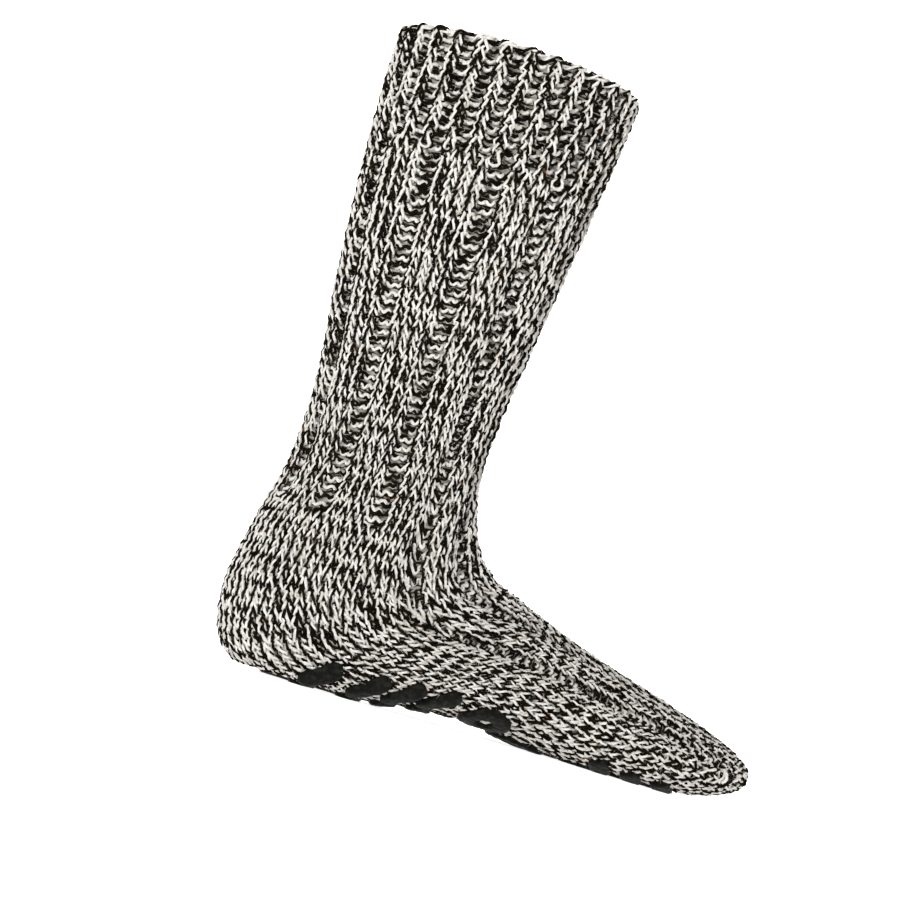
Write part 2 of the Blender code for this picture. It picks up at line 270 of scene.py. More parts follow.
class Skin:
    """A fine grid over the sock's outer form: run goes from the collar to the toe, wale goes round."""

    ROWS = 520
    AROUND = 240
    DENSE = 360
    COVERED = 0.9995

    def __init__(self):
        table = section_table()
        self.knots = section_knots(table)
        self.end = self.knots[-1]
        self.runs = np.linspace(0, self.end * self.COVERED, self.ROWS)
        values = sections_at(table, self.knots, self.runs)
        top_x, top_z, sole_x, sole_z, half, belly, power = np.split(values, values.shape[1], axis=1)
        angle = np.linspace(0, math.pi, self.DENSE + 1)[None, :]
        cosine = np.cos(angle)
        lower = np.where(angle < math.pi / 2, ROUND_POWER, power)
        height = np.sign(cosine) * np.abs(cosine) ** (2 / lower)
        side = np.abs(np.sin(angle)) ** (2 / lower)
        share = belly + height * np.where(height > 0, 1 - belly, belly)
        x = sole_x + (top_x - sole_x) * share + HEEL_X
        y = -half * side
        z = np.maximum(sole_z + (top_z - sole_z) * share, SOLE_LEVEL)
        dense = np.stack((x, y, z), axis=2)
        steps = np.linalg.norm(np.diff(dense, axis=1), axis=2)
        lengths = np.concatenate((np.zeros((self.ROWS, 1)), np.cumsum(steps, axis=1)), axis=1)
        self.girth = lengths[:, -1] * 2
        columns = self.AROUND // 2
        halves = np.empty((self.ROWS, columns + 1, 3))
        for row in range(self.ROWS):
            wanted = np.linspace(0, lengths[row, -1], columns + 1)
            for axis in range(3):
                halves[row, :, axis] = np.interp(wanted, lengths[row], dense[row, :, axis])
        mirrored = halves[:, -2::-1].copy()
        mirrored[:, :, 1] *= -1
        self.points = np.concatenate((halves, mirrored), axis=1)
        around = np.roll(self.points[:, :-1], -1, axis=1) - np.roll(self.points[:, :-1], 1, axis=1)
        around = np.concatenate((around, around[:, :1]), axis=1)
        along = np.gradient(self.points, axis=0)
        normals = np.cross(around, along)
        self.normals = normals / np.maximum(np.linalg.norm(normals, axis=2, keepdims=True), TINY)
        travel = np.linalg.norm(np.diff(self.points, axis=0), axis=2)
        self.travel = np.concatenate((np.zeros((1, self.AROUND + 1)), np.cumsum(travel, axis=0)))
        self.mean_travel = self.travel[:, :-1].mean(axis=1)

    def place(self, run, wale):
        """Points and normals at runs and wales, going on straight past the collar."""
        row = run / self.end / self.COVERED * (self.ROWS - 1)
        column = np.mod(wale, WALES) / WALES * self.AROUND
        i = np.clip(np.floor(row).astype(int), 0, self.ROWS - 2)
        j = np.clip(np.floor(column).astype(int), 0, self.AROUND - 1)
        a = np.minimum(row - i, 1.0)[..., None]
        b = (column - j)[..., None]

        def mix(grid):
            first = grid[i, j] * (1 - b) + grid[i, j + 1] * b
            second = grid[i + 1, j] * (1 - b) + grid[i + 1, j + 1] * b
            return first * (1 - a) + second * a

        normal = mix(self.normals)
        return mix(self.points), normal / np.linalg.norm(normal, axis=-1, keepdims=True)

    def run_at_mean(self, travel):
        return np.interp(travel, self.mean_travel, self.runs)

    def mean_travel_at(self, run):
        return float(np.interp(run, self.runs, self.mean_travel))

    def girth_at(self, run):
        return np.interp(run, self.runs, self.girth)

    def column_travel(self, wale):
        """Travel down one wale at each row of the grid."""
        column = np.mod(wale, WALES) / WALES * self.AROUND
        j = int(column)
        share = column - j
        return self.travel[:, j] * (1 - share) + self.travel[:, j + 1] * share


SKIN = Skin()
LEG_RUN = SKIN.knots[LEG_END]
FOOT_RUN = SKIN.knots[FOOT_START]
BALL_RUN = float(SKIN.runs[np.argmax(np.where(SKIN.runs > FOOT_RUN, SKIN.girth, 0))])

# The pattern of knit and purl


def from_front(wale, count=WALES):
    """How many stitches a stitch is from the line down the front, on its own side."""
    return np.minimum(wale, count - 1 - wale)


def instep_stitches(count):
    """How many stitches of a course are on the instep, on each side of the front line."""
    return INSTEP_WALES * min(1.0, count / FOOT_WALES)


def is_purl(zone, stitch, count, ribbed_back=False):
    """Cuff: every second stitch. Leg and instep: the two stitches at the ends of each repeat."""
    place = from_front(np.mod(stitch, count), count)
    ribbed = np.isin(place % RIB_REPEAT, (0, RIB_REPEAT - 1))
    if zone == "cuff":
        return np.mod(stitch, 2) == 1
    if zone == "leg":
        return ribbed
    if zone == "instep":
        return ribbed & ((place < instep_stitches(count)) | ribbed_back)
    return np.zeros_like(ribbed)


def rib_boundaries(zone):
    """Where the stitches of a repeat end, with knit stitches wide and purl ones narrow."""
    stitches = np.arange(WALES)
    purl = is_purl(zone, stitches, WALES)
    knit_width, purl_width = CUFF_RIB_WIDTHS if zone == "cuff" else RIB_WIDTHS
    if zone == "plain":
        widths = np.ones(WALES)
    elif zone == "instep":
        ribbed = from_front(stitches) < INSTEP_WALES
        widths = np.where(ribbed, np.where(purl, purl_width, knit_width), 1.0)
    else:
        widths = np.where(purl, purl_width, knit_width)
    ends = np.concatenate(([0.0], np.cumsum(widths)))
    return ends * WALES / ends[-1]


BOUNDARIES = {zone: rib_boundaries(zone) for zone in ("cuff", "leg", "instep", "plain")}


def to_wale(zone, stitch, count):
    """The place round the sock of a stitch coordinate, in wales. A course that has lost stitches
    has fewer on the sole, and at the toe on the instep too."""
    full = np.mod(stitch, count)
    side = np.minimum(full, count - full)
    front = instep_stitches(count)
    on_sole = INSTEP_WALES + (side - front) * (WALES / 2 - INSTEP_WALES) / (count / 2 - front)
    evened = np.where(side < front, side * INSTEP_WALES / front, on_sole)
    spread = np.interp(evened, np.arange(WALES + 1), BOUNDARIES[zone])
    return np.where(full > count / 2, WALES - spread, spread) + np.floor_divide(stitch, count) * WALES


def rib_depth(zone, stitch, count, ribbed_back=0.0):
    """How far the fabric lies back at a stitch coordinate. ribbed_back is how much of the ribs the
    back has beside the instep's."""
    if zone == "plain":
        return np.zeros_like(stitch)
    if zone == "cuff":
        return CUFF_RIB_DEPTH * (0.5 - 0.5 * np.cos(math.pi * (stitch - 0.5)))
    full = np.mod(stitch, count)
    side = np.minimum(full, count - full)
    offset = np.abs(np.mod(side + RIB_REPEAT / 2, RIB_REPEAT) - RIB_REPEAT / 2)
    depth = LEG_RIB_DEPTH * (0.5 + 0.5 * np.cos(2 * math.pi * offset / RIB_REPEAT)) ** RIB_POWER
    if zone == "instep":
        depth = depth * np.where(side < instep_stitches(count), 1.0, ribbed_back)
    return depth * min(1.0, count / FOOT_WALES) ** TOE_RIB_POWER


def heel_ribbing(courses):
    """How much of the leg's ribs is left on the back, some courses below the ankle's line."""
    return 1 - np.clip((courses - HEEL_RIB_COURSES + HEEL_RIB_FADE) / HEEL_RIB_FADE, 0, 1)


# Yarn


def dress(piece, node):
    """Puts a finished piece in the scene in place of a solid."""
    bpy.context.scene.collection.objects.link(piece)
    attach(piece, "root")
    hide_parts(node)


def tube_faces(rows, columns):
    """Faces of a grid of points that joins up round its columns."""
    faces = []
    for i in range(rows - 1):
        for j in range(columns):
            k = (j + 1) % columns
            faces.append((i * columns + j, (i + 1) * columns + j, (i + 1) * columns + k, i * columns + k))
    return faces


class Yarn:
    """Gathers the lines that the yarn follows and makes them into one mesh with two plies."""

    # Across and up places of a ply's edge round the yarn, in yarn radii: notch, ply, notch, other ply
    RIM = ((0.0, 0.34), (0.84, 0.56), (0.96, -0.36), (0.0, -0.34), (-0.84, -0.56), (-0.96, 0.36))
    NOTCHES = (0, 3)

    def __init__(self, name, seed):
        self.name = name
        self.random = np.random.default_rng(seed)
        self.verts = []
        self.faces = []
        self.plies = []
        self.uvs = []
        self.count = 0
        self.rows = 0

    def add(self, points, normals, closed, radius):
        """One course: its points, the skin's normals there and whether it joins up."""
        number = len(points)
        if closed:
            tangent = np.roll(points, -1, axis=0) - np.roll(points, 1, axis=0)
        else:
            tangent = np.gradient(points, axis=0)
        tangent /= np.maximum(np.linalg.norm(tangent, axis=1, keepdims=True), TINY)
        across = np.cross(normals, tangent)
        across /= np.maximum(np.linalg.norm(across, axis=1, keepdims=True), TINY)
        up = np.cross(tangent, across)
        steps = np.linalg.norm(np.diff(points, axis=0, append=points[:1]), axis=1)
        length = np.concatenate(([0.0], np.cumsum(steps)[:-1]))
        wander = np.cumsum(self.random.normal(0, TWIST_WANDER, number))
        wander -= np.linspace(0, wander[-1], number)
        if closed:
            turns = round(steps.sum() / TWIST_PITCH)
            phase = 2 * math.pi * turns * length / steps.sum()
        else:
            phase = 2 * math.pi * length / TWIST_PITCH
        phase = self.random.uniform(0, 2 * math.pi) - phase + wander
        wave_start = self.random.uniform(*WAVE_STARTS)
        thick = radius * (1 + THICK_WAVE * np.sin(length / THICK_WAVE_LENGTH + wave_start))
        thick = (thick * self.random.uniform(*THICK_RANGE, number))[:, None]
        rings = []
        for side, height in self.RIM:
            turned_side = side * np.cos(phase) - height * np.sin(phase)
            turned_height = side * np.sin(phase) + height * np.cos(phase)
            rings.append(points + thick * (across * turned_side[:, None] + up * turned_height[:, None]))
        ring = np.stack(rings, axis=1)
        sides = len(self.RIM)
        segments = number if closed else number - 1
        i = np.arange(segments)[:, None]
        j = np.arange(sides)[None, :]
        nxt = (i + 1) % number
        k = (j + 1) % sides
        base = self.count
        here = base + i * sides
        there = base + nxt * sides
        quads = np.stack((here + j, here + k, there + k, there + j), axis=-1).reshape(-1, 4)
        self.verts.append(ring.reshape(-1, 3))
        self.faces.append(quads)
        self.plies.append(np.broadcast_to(j >= self.NOTCHES[1], (segments, sides)).reshape(-1))
        fold = i * UV_FOLDS // segments
        u0 = i * UV_FOLDS / segments - fold + 0 * j
        u1 = np.minimum((i + 1) * UV_FOLDS / segments - fold, 1) + 0 * j
        v0 = (j + 0 * i) / sides * UV_BAND + UV_MARGIN + self.rows + fold
        v1 = (j + 1 + 0 * i) / sides * UV_BAND + UV_MARGIN + self.rows + fold
        corners = ((u0, v0), (u0, v1), (u1, v1), (u1, v0))
        self.uvs.append(np.stack([np.stack(corner, -1) for corner in corners], axis=2).reshape(-1, 2))
        self.count += number * sides
        self.rows += UV_FOLDS
        if not closed:
            self.cap(base, sides, number)

    def cap(self, base, sides, number):
        """Closes both ends of an open course."""
        for start, order in ((base, (3, 2, 1, 0)), (base, (5, 4, 3, 0))):
            self.faces.append(np.array([[start + corner for corner in order]]))
        last = base + (number - 1) * sides
        for start, order in ((last, (0, 1, 2, 3)), (last, (0, 3, 4, 5))):
            self.faces.append(np.array([[start + corner for corner in order]]))
        self.plies.append(np.ones(4, dtype=bool))
        corner = np.full((16, 2), 0.5)
        corner[:, 1] += self.rows - 1
        self.uvs.append(corner)

    def build(self, materials):
        verts = np.concatenate(self.verts)
        faces = np.concatenate(self.faces)
        plies = np.concatenate(self.plies)
        uvs = np.concatenate(self.uvs)
        uvs[:, 1] /= self.rows
        mesh = bpy.data.meshes.new(self.name)
        mesh.vertices.add(len(verts))
        mesh.vertices.foreach_set("co", verts.astype(np.float32).ravel())
        mesh.loops.add(faces.size)
        mesh.loops.foreach_set("vertex_index", faces.astype(np.int32).ravel())
        mesh.polygons.add(len(faces))
        mesh.polygons.foreach_set("loop_start", np.arange(0, faces.size, 4, dtype=np.int32))
        mesh.polygons.foreach_set("material_index", plies.astype(np.int32))
        mesh.update(calc_edges=True)
        mesh.polygons.foreach_set("use_smooth", np.ones(len(faces), dtype=bool))
        layer = mesh.uv_layers.new(name="OFBake")
        layer.data.foreach_set("uv", uvs.astype(np.float32).ravel())
        self.crease(mesh)
        for material in materials:
            mesh.materials.append(material)
        mesh.validate()
        dress(bpy.data.objects.new(self.name, mesh), "upper")

    def crease(self, mesh):
        """Sharp lines where the two plies meet."""
        edges = np.empty(len(mesh.edges) * 2, dtype=np.int32)
        mesh.edges.foreach_get("vertices", edges)
        edges = edges.reshape(-1, 2)
        sides = len(self.RIM)
        corner = edges % sides
        notch = (corner[:, 0] == corner[:, 1]) & np.isin(corner[:, 0], self.NOTCHES)
        layer = mesh.attributes.new("sharp_edge", "BOOLEAN", "EDGE")
        layer.data.foreach_set("value", notch)


def knit_signs(zone, stitch_index, count, angle, ribbed_back):
    """+1 on knit stitches and -1 on purl ones, running over smoothly between the two."""
    here = np.where(is_purl(zone, stitch_index, count, ribbed_back), -1.0, 1.0)
    before = np.where(is_purl(zone, stitch_index - 1, count, ribbed_back), -1.0, 1.0)
    after = np.where(is_purl(zone, stitch_index + 1, count, ribbed_back), -1.0, 1.0)
    low = np.clip(1 - angle / TURN_REACH, 0, 1) / 2
    high = np.clip(1 - (2 * math.pi - angle) / TURN_REACH, 0, 1) / 2
    return here + (before - here) * low + (after - here) * high


def loop_lift(purl, angle):
    """How far the yarn comes forward along a stitch: the legs of a knit one, the head of a purl one."""
    legs = -np.cos(2 * angle)
    head = -HEAD_LIFT * np.cos(angle)
    return LOOP_DEPTH * (legs * (1 - purl) + head * purl)


def knit_course(yarn, zone, run_at, height_at, first, last, count, ribbed_back=0.0, slant=LOOP_LEAN):
    """One course of loops from stitch first to stitch last. run_at and height_at give, for a place
    in wales, the run of the course's middle and the height of its stitches in run units."""
    stitches = np.arange(first, last)
    angle = (np.arange(SAMPLES) / SAMPLES) * 2 * math.pi
    index = np.repeat(stitches, SAMPLES)
    theta = np.tile(angle, len(stitches))
    closed = last - first == count
    wobble = yarn.random.normal(0, 1, (3, len(stitches)))
    spread = np.repeat(wobble, SAMPLES, axis=1)
    sign = knit_signs(zone, index, count, theta, ribbed_back > 0)
    purl = (1 - sign) / 2
    middle = index + 0.5
    width = to_wale(zone, index + 1, count) - to_wale(zone, index, count)
    girth = SKIN.girth_at(run_at(to_wale(zone, middle, count)))
    snug = np.clip(width * girth / WALES / FULL_STITCH, LEAST_SNUG, 1)
    lean = slant / snug * (1 + LEAN_WOBBLE * spread[0]) * (1 - purl)
    stitch = index + theta / (2 * math.pi) + lean * np.sin(2 * theta)
    wale = to_wale(zone, stitch, count)
    height = height_at(wale)
    legs = LOOP_HEIGHT * np.cos(theta)
    offset, wave = (CUFF_PURL_OFFSET, CUFF_PURL_WAVE) if zone == "cuff" else (PURL_OFFSET, PURL_WAVE)
    bar = offset + wave * np.cos(theta)
    rise = (legs * (1 - purl) + bar * purl) * (1 + RISE_WOBBLE * spread[1])
    run = run_at(wale) - height * rise
    run = np.minimum(run, SKIN.end * LAST_COURSE)
    skin, normal = SKIN.place(run, wale)
    depth = CREST_TO_MIDDLE + rib_depth(zone, 0.5 * stitch + 0.5 * middle, count, ribbed_back)
    lift = loop_lift(purl, theta) + DEPTH_WOBBLE * spread[2]
    points = skin + normal * (lift - depth)[:, None]
    yarn.add(points, normal, closed, YARN_RADIUS * snug * (1 + PURL_THICKNESS * purl))


def even(value):
    """The same value at any place round the sock."""
    return lambda wale: np.full_like(wale, value)


def uneven(centres, values):
    """A value at any place round the sock, from those at the middles of its wales."""
    around = np.concatenate((centres - WALES, centres, centres + WALES))
    wrapped = np.tile(values, 3)
    return lambda wale: np.interp(wale, around, wrapped)


def cast_on(yarn):
    """The edge at the top: two strands that wind round each other over the first course."""
    stitch = np.arange(WALES * CAST_ON_SAMPLES) / CAST_ON_SAMPLES
    wale = to_wale("cuff", stitch, WALES)
    for strand in (0, 1):
        turn = math.pi * (stitch + strand + 0.5)
        rib = rib_depth("cuff", stitch, WALES)
        run = CAST_ON_MIDDLE + CAST_ON_WAVE * np.cos(turn) + CAST_ON_SCALLOP * rib
        skin, normal = SKIN.place(run, wale)
        depth = CREST_TO_MIDDLE + CAST_ON_RIB * rib + CAST_ON_WAVE * np.sin(turn)
        yarn.add(skin - normal * depth[:, None], normal, True, YARN_RADIUS * CAST_ON_YARN)


def level_courses(piece_of, start_travel, end_travel, courses, zone_of, stitches_of, slant):
    """Courses that go all the way round between two places of mean travel."""
    step = (end_travel - start_travel) / courses
    for number in range(courses):
        travel = start_travel + (number + 0.5) * step
        run = SKIN.run_at_mean(travel)
        ahead = SKIN.run_at_mean(travel + step / 2)
        behind = SKIN.run_at_mean(travel - step / 2)
        yarn = piece_of(number)
        count = stitches_of(run)
        zone = zone_of(number)
        lean = CUFF_LEAN if zone == "cuff" else slant
        knit_course(yarn, zone, even(run), even(ahead - behind), 0, count, count, slant=lean)


# Materials


def shader_of(name, rough, specular):
    """A new material with its node tree and its shader."""
    material = bpy.data.materials.new(name)
    material.use_nodes = True
    shader = material.node_tree.nodes["Principled BSDF"]
    shader.inputs["Roughness"].default_value = rough
    shader.inputs["Specular IOR Level"].default_value = specular
    return material, material.node_tree, shader


def add_noise(tree, place, scale, detail, roughness=0.5):
    noise = tree.nodes.new("ShaderNodeTexNoise")
    noise.inputs["Scale"].default_value = scale
    noise.inputs["Detail"].default_value = detail
    noise.inputs["Roughness"].default_value = roughness
    tree.links.new(place, noise.inputs["Vector"])
    return noise.outputs["Fac"]


def add_ramp(tree, value, *stops):
    """Colours for a value, from two pairs of a position and a colour."""
    ramp = tree.nodes.new("ShaderNodeValToRGB")
    for element, (position, colour) in zip(ramp.color_ramp.elements, stops):
        element.position = position
        element.color = (*colour, 1)
    tree.links.new(value, ramp.inputs["Fac"])
    return ramp.outputs["Color"]


def add_bump(tree, height, shader, strength, distance):
    bump = tree.nodes.new("ShaderNodeBump")
    bump.inputs["Strength"].default_value = strength
    bump.inputs["Distance"].default_value = distance
    tree.links.new(height, bump.inputs["Height"])
    tree.links.new(bump.outputs["Normal"], shader.inputs["Normal"])


def make_ply(name, colour, tint, fleck, rough, sheen):
    """One ply of wool: a slow change of tint, rare flecks and fine fibres."""
    material, tree, shader = shader_of(name, rough, specular=0.04)
    place = tree.nodes.new("ShaderNodeTexCoord").outputs["Object"]
    slow = add_noise(tree, place, scale=210, detail=3)
    tinted = add_ramp(tree, slow, (0.38, colour), (0.66, tint))
    spots = add_noise(tree, place, scale=330, detail=1)
    rare = add_ramp(tree, spots, (0.735, (0, 0, 0)), (0.76, (1, 1, 1)))
    blend = tree.nodes.new("ShaderNodeMix")
    blend.data_type = "RGBA"
    blend.inputs["B"].default_value = (*fleck, 1)
    tree.links.new(rare, blend.inputs["Factor"])
    tree.links.new(tinted, blend.inputs["A"])
    tree.links.new(blend.outputs["Result"], shader.inputs["Base Color"])
    fibres = add_noise(tree, place, scale=2600, detail=4, roughness=0.65)
    add_bump(tree, fibres, shader, strength=0.5, distance=0.0003)
    shader.inputs["Sheen Weight"].default_value = sheen
    shader.inputs["Sheen Roughness"].default_value = 0.5
    return material


def make_backing_with_painted_shade():
    """Wool deep between the loops: dark, with the lighter ply showing in short pieces. Partly the marled
    yarn behind the loops and partly painted shade, with the lighter pieces a dimmed cream.
    """
    material, tree, shader = shader_of("backing_with_painted_shade", rough=1.0, specular=0.1)
    stretch = tree.nodes.new("ShaderNodeMapping")
    stretch.inputs["Scale"].default_value = (42, 400, 1)
    tree.links.new(tree.nodes.new("ShaderNodeTexCoord").outputs["UV"], stretch.inputs["Vector"])
    pieces = add_noise(tree, stretch.outputs["Vector"], scale=1, detail=2)
    # Painted shade: near-black and a dimmed cream stand in for the marled yarn darkened deep between the
    # loops
    colours = add_ramp(tree, pieces, (0.47, (0.007, 0.005, 0.003)), (0.58, (0.33, 0.31, 0.275)))
    tree.links.new(colours, shader.inputs["Base Color"])
    return material


def make_fibre(name, colour):
    material, _, shader = shader_of(name, rough=0.9, specular=0.1)
    shader.inputs["Base Color"].default_value = (*colour, 1)
    return material


def make_rubber():
    """Matt black rubber with a fine uneven face."""
    material, tree, shader = shader_of("printed_rubber", rough=0.42, specular=0.02)
    place = tree.nodes.new("ShaderNodeTexCoord").outputs["Object"]
    grain = add_noise(tree, place, scale=420, detail=5)
    colours = add_ramp(tree, grain, (0.48, (0.006, 0.0065, 0.005)), (0.80, (0.022, 0.023, 0.018)))
    tree.links.new(colours, shader.inputs["Base Color"])
    add_bump(tree, grain, shader, strength=0.8, distance=0.0006)
    return material


CREAM = make_ply(
    "cream_ply",
    colour=(0.74, 0.715, 0.675),
    tint=(0.62, 0.59, 0.54),
    fleck=(0.50, 0.40, 0.28),
    rough=0.9,
    sheen=0.2,
)
DARK = make_ply(
    "dark_ply",
    colour=(0.004, 0.003, 0.0018),
    tint=(0.012, 0.008, 0.004),
    fleck=(0.13, 0.05, 0.015),
    rough=1.0,
    sheen=0.0,
)
RUBBER = make_rubber()
BACKING_PAINTED_SHADE = make_backing_with_painted_shade()

# The knitting itself

LEG_TRAVEL = SKIN.mean_travel_at(LEG_RUN)
FOOT_TRAVEL = SKIN.mean_travel_at(FOOT_RUN)
END_TRAVEL = float(SKIN.mean_travel[-1])
LEG_COURSES = round((LEG_TRAVEL - CAST_ON_HEIGHT) / COURSE)
CUFF_COURSES = round(CUFF_HEIGHT / COURSE)
FOOT_COURSES = round((END_TRAVEL - FOOT_TRAVEL) / COURSE)
LEG_SPLIT = CUFF_COURSES + (LEG_COURSES - CUFF_COURSES) // 2
FOOT_SPLIT = FOOT_COURSES // 2

cuff = Yarn("knit_cuff", 11)
leg_upper = Yarn("knit_leg_upper", 12)
leg_lower = Yarn("knit_leg_lower", 13)
heel_top = Yarn("knit_heel_top", 14)
heel_sole = Yarn("knit_heel_sole", 15)
foot_back = Yarn("knit_foot_back", 16)
foot_front = Yarn("knit_foot_front", 17)


def leg_piece(number):
    if number < CUFF_COURSES:
        return cuff
    return leg_upper if number < LEG_SPLIT else leg_lower


def leg_zone(number):
    return "cuff" if number < CUFF_COURSES else "leg"


def foot_piece(number):
    return foot_back if number < FOOT_SPLIT else foot_front


def foot_zone(number):
    return "instep" if number < FOOT_COURSES - PLAIN_TOE_COURSES else "plain"


def foot_stitches(run):
    """Stitches in a course of the foot: two fewer every second course after the heel, and at the
    toe as many as go round it."""
    pairs = int((SKIN.mean_travel_at(run) - FOOT_TRAVEL) / COURSE / 2) + 1
    count = max(WALES - 2 * pairs, FOOT_WALES)
    if run > BALL_RUN:
        count = min(count, max(LEAST_STITCHES, 2 * round(float(SKIN.girth_at(run)) / TOE_STITCH / 2)))
    return count


def whole_round(run):
    return WALES


cast_on(cuff)
level_courses(leg_piece, CAST_ON_HEIGHT, LEG_TRAVEL, LEG_COURSES, leg_zone, whole_round, LOOP_LEAN)
level_courses(foot_piece, FOOT_TRAVEL, END_TRAVEL, FOOT_COURSES, foot_zone, foot_stitches, FOOT_LEAN)


def heel_courses():
    """Courses of the heel: those on the leg's side of the mitre run level with the leg, the others
    with the foot. Each stitch column has as many of them as its length takes."""
    centres = np.arange(WALES) + 0.5
    travels = [SKIN.column_travel(centre) for centre in centres]
    start = np.array([np.interp(LEG_RUN, SKIN.runs, t) for t in travels])
    end = np.array([np.interp(FOOT_RUN, SKIN.runs, t) for t in travels])
    half = (end - start) / 2 / COURSE
    side = from_front(np.arange(WALES))
    front = round(float(half[side < EVEN_HEEL_WALES].mean()))
    stitches = np.maximum(np.round(half).astype(int), front)
    stitches[side < EVEN_HEEL_WALES] = front
    power = 1 + MITRE_POWER * np.clip((side - MITRE_FADE_START) / MITRE_FADE, 0, 1)
    for number in range(int(stitches.max())):
        there = stitches > number
        first = int(np.argmax(there)) if number >= front else 0
        last = WALES - first
        share = (number + 0.5) / stitches
        distance = COURSE * (number + 0.5 + (half - stitches) * share ** power)
        height = COURSE * (1 + (half - stitches) * power * share ** (power - 1) / stitches)
        for yarn, from_leg in ((heel_top, True), (heel_sole, False)):
            runs = np.empty(WALES)
            heights = np.empty(WALES)
            for w in range(WALES):
                place = start[w] + distance[w] if from_leg else end[w] - distance[w]
                runs[w] = np.interp(place, travels[w], SKIN.runs)
                ahead = np.interp(place + height[w] / 2, travels[w], SKIN.runs)
                behind = np.interp(place - height[w] / 2, travels[w], SKIN.runs)
                heights[w] = ahead - behind
            run_at = uneven(centres, runs)
            height_at = uneven(centres, heights)
            left = float(heel_ribbing(number)) if from_leg else 0.0
            slant = LOOP_LEAN if from_leg else FOOT_LEAN
            knit_course(yarn, "instep", run_at, height_at, first, last, WALES, left, slant)


heel_courses()
for yarn in (cuff, leg_upper, leg_lower, heel_top, heel_sole, foot_back, foot_front):
    yarn.build((CREAM, DARK))

# The fabric behind the loops, which closes the gaps between them, coloured partly with painted shade


def make_backing():
    rows = BACKING_ROWS
    columns = BACKING_COLUMNS
    runs = np.linspace(BACKING_START, SKIN.end * BACKING_END, rows)
    wales = np.arange(columns) / columns * WALES + 0.5
    run_grid, wale_grid = np.meshgrid(runs, wales, indexing="ij")
    skin, normal = SKIN.place(run_grid, wale_grid)
    depth = np.full(run_grid.shape, CREST_TO_MIDDLE + BACKING_DROP)
    for row, run in enumerate(runs):
        if SKIN.mean_travel_at(run) < CUFF_COURSES * COURSE:
            depth[row] += rib_depth("cuff", wales, WALES)
        elif run < LEG_RUN:
            depth[row] += rib_depth("leg", wales, WALES)
        elif run > BALL_RUN and foot_stitches(run) < FOOT_WALES:
            depth[row] += LEG_RIB_DEPTH * (foot_stitches(run) / FOOT_WALES) ** TOE_RIB_POWER
        else:
            below = np.array([
                np.interp(run, SKIN.runs, SKIN.column_travel(wale))
                - np.interp(LEG_RUN, SKIN.runs, SKIN.column_travel(wale))
                for wale in wales
            ])
            depth[row] += rib_depth("instep", wales, WALES, heel_ribbing(below / COURSE))
    points = skin - normal * depth[..., None]
    faces = tube_faces(rows, columns)
    faces.append([(rows - 1) * columns + j for j in range(columns)][::-1])
    mesh = bpy.data.meshes.new("knit_backing")
    mesh.from_pydata(points.reshape(-1, 3).tolist(), [], faces)
    layer = mesh.uv_layers.new(name="OFBake")
    for face in mesh.polygons:
        first = face.vertices[0]
        for loop in face.loop_indices:
            i, j = divmod(mesh.loops[loop].vertex_index, columns)
            if j == 0 and first % columns == columns - 1:
                j = columns
            layer.data[loop].uv = (j / columns, i / rows)
    mesh.shade_smooth()
    mesh.materials.append(BACKING_PAINTED_SHADE)
    dress(bpy.data.objects.new("knit_backing", mesh), "upper")


make_backing()

# Loose fibres that stand out from the yarn


def make_fuzz():
    random = np.random.default_rng(FIBRE_SEED)
    step = np.gradient(SKIN.mean_travel) * SKIN.girth
    share = np.cumsum(step) / step.sum()
    runs = np.interp(random.uniform(0, 1, FIBRES), share, SKIN.runs)
    skin, normal = SKIN.place(runs, random.uniform(0, WALES, FIBRES))
    stray = random.normal(0, 1, (FIBRES, 3))
    bend = random.normal(0, 1, (FIBRES, 3))
    length = random.uniform(*FIBRE_LENGTHS, FIBRES)[:, None]
    lean = stray + normal * random.uniform(0.0, FIBRE_LIFT, FIBRES)[:, None]
    lean /= np.linalg.norm(lean, axis=1, keepdims=True)
    root = skin - normal * FIBRE_ROOT
    middle = root + lean * length / 2
    tip = middle + (lean + bend * FIBRE_BEND) * length / 2
    across = np.cross(lean, bend)
    across *= FIBRE_WIDTH / 2 / np.linalg.norm(across, axis=1, keepdims=True)
    verts = np.stack((root - across, root + across, middle + across, middle - across, tip), axis=1)
    verts[:, :, 2] = np.maximum(verts[:, :, 2], FIBRE_FLOOR)
    faces = []
    for base in range(0, FIBRES * FIBRE_CORNERS, FIBRE_CORNERS):
        faces.append((base, base + 1, base + 2, base + 3))
        faces.append((base + 3, base + 2, base + 4))
    mesh = bpy.data.meshes.new("knit_fuzz")
    mesh.from_pydata(verts.reshape(-1, 3).tolist(), [], faces)
    mesh.materials.append(make_fibre("fibre_light", (0.62, 0.59, 0.54)))
    mesh.materials.append(make_fibre("fibre_dark", (0.03, 0.022, 0.015)))
    dark = np.repeat(random.uniform(0, 1, FIBRES) < DARK_FIBRES, 2)
    mesh.polygons.foreach_set("material_index", dark.astype(np.int32))
    dress(bpy.data.objects.new("knit_fuzz", mesh), "upper")


make_fuzz()

# The rubber print


def skin_tree():
    """The foot's skin as a tree for rays, with the skin's row at each row of faces."""
    first = int(np.searchsorted(SKIN.runs, LEG_RUN))
    rows = np.arange(first, SKIN.ROWS, TREE_STEP)
    points = SKIN.points[rows][:, :-1].reshape(-1, 3)
    return BVHTree.FromPolygons(points.tolist(), tube_faces(len(rows), SKIN.AROUND)), rows


SKIN_TREE, TREE_ROWS = skin_tree()


